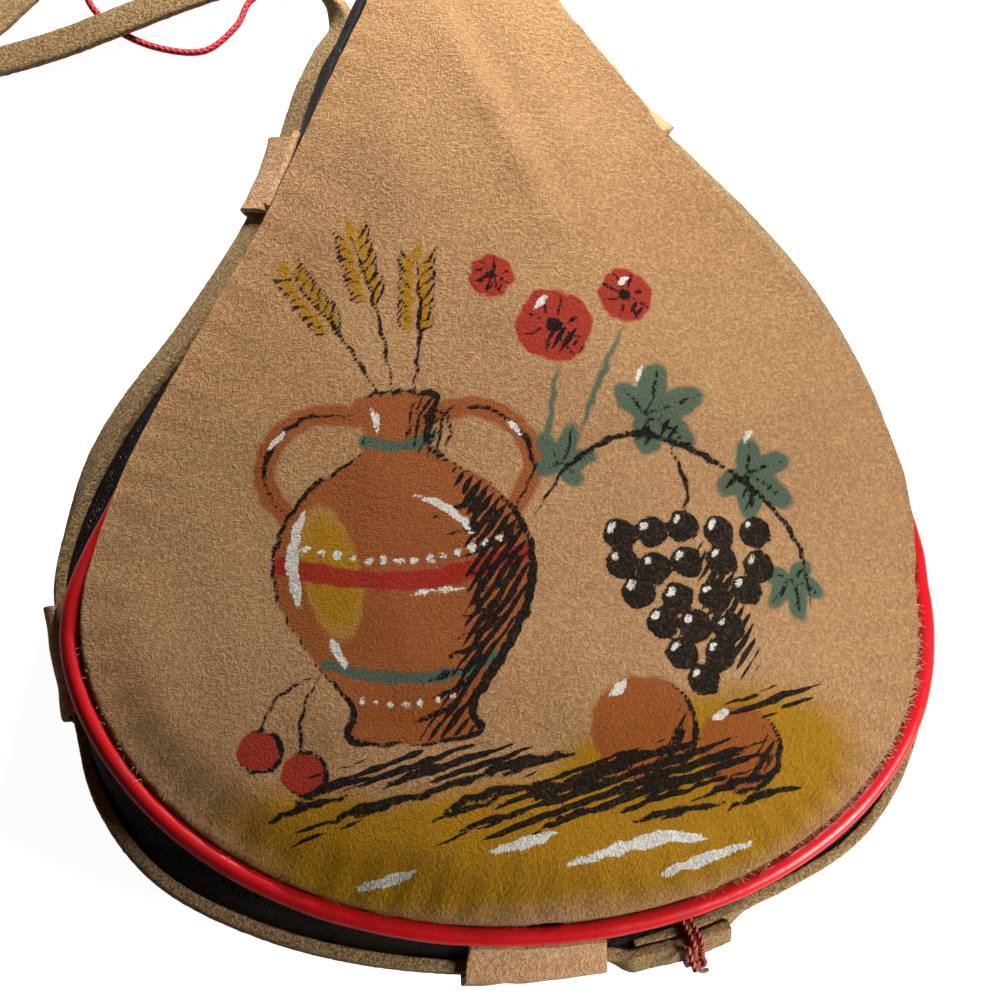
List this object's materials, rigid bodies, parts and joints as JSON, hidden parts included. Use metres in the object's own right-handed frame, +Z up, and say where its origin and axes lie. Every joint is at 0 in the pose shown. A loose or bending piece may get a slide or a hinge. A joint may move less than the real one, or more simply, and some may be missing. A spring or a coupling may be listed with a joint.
{
  "type": "bota bag",
  "caption": "Pear-shaped leather wine bag lying on its back, with a screw nozzle and cap at its bound neck and a shoulder strap run through loops round its side.",
  "frame": {"origin": "on the surface that the bag lies on, under the middle of the bag, measured without its free cords", "axes": "+Y from the bottom of the bag to its mouthpiece, +X to the right when the suede front is seen from above, +Z up out of the front"},
  "size_m": [0.286, 0.3081, 0.0455],
  "materials": {
    "tan_suede": "napped suede, matte",
    "strap_suede": "brown-olive suede, matte",
    "black_leather": "smooth, satin",
    "red_plastic": "glossy",
    "black_plastic": "satin moulded",
    "red_cord": "braided synthetic cord",
    "rubber": "matte",
    "latex": "matte, dipped"
  },
  "bodies": {
    "bag": {"front_panel": "tan_suede", "side_gusset": "black_leather", "back_panel": "black_leather", "front_piping": "red_plastic", "back_piping": "red_plastic", "latex_liner": "latex", "neck_collar": "black_plastic", "neck_binding": "red_cord", "cap_tether": "red_cord", "upper_left_strap_loop": "tan_suede", "lower_left_strap_loop": "tan_suede", "bottom_strap_loop": "tan_suede", "lower_right_strap_loop": "tan_suede", "upper_right_strap_loop": "tan_suede", "strap_left_run": "strap_suede", "strap_right_run": "strap_suede", "strap_tie": "red_cord", "shoulder_strap": "strap_suede"},
    "washer": {"nozzle_washer": "rubber"},
    "nozzle": {"nozzle": "red_plastic"},
    "seal": {"cap_seal": "rubber"},
    "cap": {"cap": "black_plastic"},
    "cap_eye": {"cap_tether_eye": "black_plastic"}
  },
  "joints": [
    {"name": "nozzle_rise", "type": "slide", "parent": "bag", "child": "washer", "axis": [0, 1, 0], "range_m": [0, 0.009]},
    {"name": "nozzle_turn", "type": "hinge", "parent": "washer", "child": "nozzle", "pos_m": [0, 0.10847, 0.024], "axis": [0, 1, 0], "range_deg": [0, 1080]},
    {"name": "cap_rise", "type": "slide", "parent": "nozzle", "child": "seal", "axis": [0, 1, 0], "range_m": [0, 0.008]},
    {"name": "cap_turn", "type": "hinge", "parent": "seal", "child": "cap", "pos_m": [0, 0.10847, 0.024], "axis": [0, 1, 0], "range_deg": [0, 1440]},
    {"name": "cap_eye_rise", "type": "slide", "parent": "washer", "child": "cap_eye", "axis": [0, 1, 0], "range_m": [0, 0.008]}
  ],
  "couplings": [
    {"joint": "nozzle_turn", "follows": "nozzle_rise", "rad_per_m": 2094.4},
    {"joint": "cap_turn", "follows": "cap_rise", "rad_per_m": 3141.6},
    {"joint": "cap_eye_rise", "follows": "cap_rise", "ratio": 1}
  ]
}
